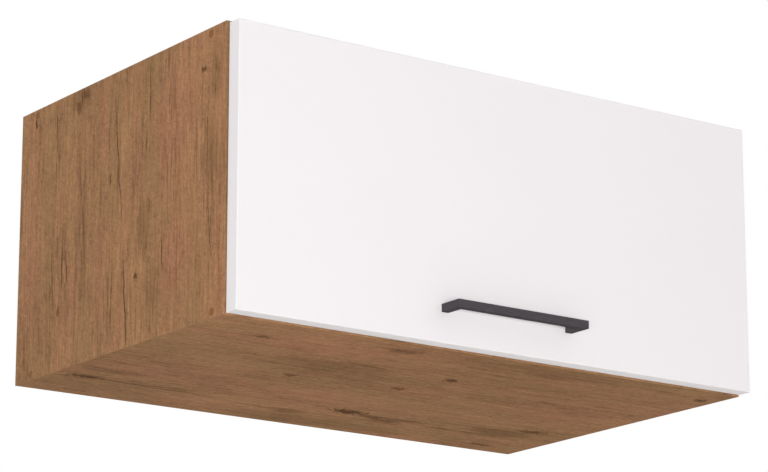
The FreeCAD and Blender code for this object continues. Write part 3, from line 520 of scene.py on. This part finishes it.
# Cup hinges: nickel-plated pressings, a cup let into the flap and a swan-neck arm on a winged plate under
# the top board, joined by a pin. Zinc-plated screws hold and set them.
nickel = plated("nickel_plate", chip(176, 172, 165), chip(204, 200, 193), roughness=0.28)
for side in SIDES:
    dress(nickel, "hinge_cup_" + side, "hinge_pin_" + side, "hinge_arm_" + side, "hinge_plate_" + side)
dress(zinc, "hinge_cup_screws", "hinge_plate_screws", "hinge_adjusting_screws")

# Gas struts: grey painted tube, hard-chromed rod, black moulded end eyes, gland and piston.
# Zinc-plated stud brackets are screwed to the sides and to the flap.
strut_paint = moulded("strut_paint", chip(168, 170, 172), chip(176, 178, 180), roughness=0.38)
strut_black = moulded("strut_black", chip(34, 34, 35), chip(42, 42, 43), roughness=0.45)
rod_chrome = plated("rod_chrome", chip(214, 215, 217), chip(226, 227, 229), roughness=0.14)
for side in SIDES:
    dress(strut_paint, "strut_cylinder_" + side)
    dress(rod_chrome, "strut_rod_" + side)
    dress(strut_black, "strut_cylinder_eye_" + side, "strut_rod_eye_" + side)
    dress(strut_black, "strut_gland_" + side, "strut_piston_" + side)
    dress(zinc, "strut_side_bracket_" + side, "strut_flap_bracket_" + side)
dress(zinc, "strut_side_bracket_screws", "strut_flap_bracket_screws")

# Handle: square steel bar bent into a bow, with a dull anthracite coating that keeps a fine grain along it.
# Two zinc-plated screws hold it from behind, through the flap.
BRUSH_CELL = (16, 0.6, 0.6)
handle_coat, tree, shader, place = start_finish("anthracite_coat")
brushed = drawn_noise(tree, place, BRUSH_CELL, shift=2.0, detail=3.0)
patches = noise(tree, place, scale=60.0)
two_tones(tree, shader, brushed, chip(71, 67, 71), chip(86, 82, 86))
put(tree, shader.inputs["Roughness"], spread(tree, patches, 0.3, 0.7, low=0.45, high=0.58))
shader.inputs["Specular IOR Level"].default_value = 0.0
raise_bump(tree, shader, brushed, strength=0.2, distance=FINE_BUMP)
dress(handle_coat, "handle")
dress(zinc, "handle_screws")

# Bumpers: clear soft domes stuck to the flap's inner face, over the front edges of the sides.
# They are cast in one piece with a thin sticky layer behind.
clear_soft, tree, shader, place = start_finish("clear_bumper")
haze = noise(tree, place, scale=800.0)
two_tones(tree, shader, haze, chip(232, 232, 230), chip(241, 241, 240))
shader.inputs["Roughness"].default_value = 0.25
shader.inputs["Transmission Weight"].default_value = 0.6
dress(clear_soft, "flap_bumpers")

# Floor: a wide pale studio floor, at the room's floor below a hung unit. It is see-through from beneath,
# and further out it fades to the white of the background.
FLOOR_DROP = 2.1
FLOOR_HALF = 9.0
FLOOR_COLOUR = (0.74, 0.725, 0.70, 1.0)
WHITE = (1.0, 1.0, 1.0, 1.0)
FADE_START = 1.2
FADE_STOP = 3.4


def seen_rays(tree):
    """1 for the rays that meet the white background: straight, off gloss or through something clear."""
    paths = tree.nodes.new("ShaderNodeLightPath").outputs
    bounced = calc(tree, "MAXIMUM", paths["Is Glossy Ray"], paths["Is Transmission Ray"])
    return calc(tree, "MAXIMUM", paths["Is Camera Ray"], bounced)


def mixed_shader(tree, amount, first, second):
    node = tree.nodes.new("ShaderNodeMixShader")
    for socket, value in zip(node.inputs, (amount, first, second)):
        put(tree, socket, value)
    return node.outputs[0]


floor_mesh = bmesh.new()
bmesh.ops.create_grid(floor_mesh, x_segments=8, y_segments=8, size=FLOOR_HALF)
bmesh.ops.translate(floor_mesh, verts=floor_mesh.verts, vec=(0, FRONT / 2, CARCASS_BOTTOM - FLOOR_DROP))
floor_data = bpy.data.meshes.new("studio_floor")
floor_mesh.to_mesh(floor_data)
floor_mesh.free()
floor = bpy.data.objects.new("studio_floor", floor_data)
bpy.context.collection.objects.link(floor)
floor_paint, tree, shader, place = start_finish("floor_paint")
shader.inputs["Base Color"].default_value = FLOOR_COLOUR
shader.inputs["Roughness"].default_value = 0.9
shader.inputs["Specular IOR Level"].default_value = 0.1
geometry = tree.nodes.new("ShaderNodeNewGeometry")
white = tree.nodes.new("ShaderNodeEmission")
white.inputs["Color"].default_value = WHITE
clear = tree.nodes.new("ShaderNodeBsdfTransparent")
flat = tree.nodes.new("ShaderNodeVectorMath")
flat.operation = "MULTIPLY"
flat.inputs[1].default_value = (1.0, 1.0, 0.0)
put(tree, flat.inputs[0], place)
length = tree.nodes.new("ShaderNodeVectorMath")
length.operation = "LENGTH"
put(tree, length.inputs[0], flat.outputs[0])
faded = spread(tree, length.outputs["Value"], FADE_START, FADE_STOP)
whitened = calc(tree, "MULTIPLY", faded, seen_rays(tree))
top_side = mixed_shader(tree, whitened, shader.outputs[0], white.outputs[0])
both_sides = mixed_shader(tree, geometry.outputs["Backfacing"], top_side, clear.outputs[0])
put(tree, tree.nodes["Material Output"].inputs["Surface"], both_sides)
floor_data.materials.append(floor_paint)

# Camera: below the cabinet and to its left, with a long lens, tilted up at it.
# There is no shift, so that the other views stay centred.
AIM = Vector((-0.0042, -0.26, -0.1481))
DISTANCE = 4.18
TURN = math.radians(35.706)
RISE = math.radians(14.733)
LENS = 150.16


def point_at_aim(thing, turn, rise, distance):
    """Sets a camera or light off at a distance, turned to the left and below, facing the aim."""
    forward = Vector((math.sin(turn), math.cos(turn), math.tan(rise))).normalized()
    thing.location = AIM - forward * distance
    thing.rotation_mode = "QUATERNION"
    thing.rotation_quaternion = forward.to_track_quat("-Z", "Y")


camera_data = bpy.data.cameras.new("camera")
camera_data.lens = LENS
camera_data.sensor_width = 36.0
camera_data.clip_end = 100.0
camera = bpy.data.objects.new("camera", camera_data)
bpy.context.collection.objects.link(camera)
point_at_aim(camera, TURN, RISE, DISTANCE)
bpy.context.scene.camera = camera
bpy.context.scene.view_settings.view_transform = "Standard"

# Light: a white studio, dimmer on the camera's side, and one wide soft box there that makes up for it.
# Its shadows fall behind the pieces as the camera sees them, so those round the handle stay faint.
BOX_SHARE = 0.585
BOX_DISTANCE = 7.5
BOX_TURN = math.radians(31)
BOX_RISE = math.radians(13)
BOX_WIDTH = 3.6
BOX_HEIGHT = 1.1
soft_box_data = bpy.data.lights.new("soft_box", "AREA")
soft_box_data.shape = "RECTANGLE"
soft_box_data.size = BOX_WIDTH
soft_box_data.size_y = BOX_HEIGHT
soft_box_data.energy = BOX_SHARE * (math.pi * BOX_DISTANCE) ** 2
soft_box = bpy.data.objects.new("soft_box", soft_box_data)
bpy.context.collection.objects.link(soft_box)
point_at_aim(soft_box, BOX_TURN, BOX_RISE, BOX_DISTANCE)
soft_box.visible_camera = False
EVEN_LEVEL = 0.65
RIGHT_GAIN = 0.20
REAR_GAIN = 0.41
TOP_GAIN = 0.08
world = bpy.data.worlds.new("studio")
bpy.context.scene.world = world
world.use_nodes = True
tree = world.node_tree
background = tree.nodes["Background"]
direction = split(tree, tree.nodes.new("ShaderNodeTexCoord").outputs["Generated"])
dim = EVEN_LEVEL
for part, gain in zip(direction, (RIGHT_GAIN, REAR_GAIN, TOP_GAIN)):
    dim = calc(tree, "MULTIPLY_ADD", part, gain, dim)
seen = seen_rays(tree)
unseen = calc(tree, "SUBTRACT", 1.0, seen)
put(tree, background.inputs["Strength"], calc(tree, "MULTIPLY_ADD", unseen, dim, seen))
background.inputs["Color"].default_value = WHITE
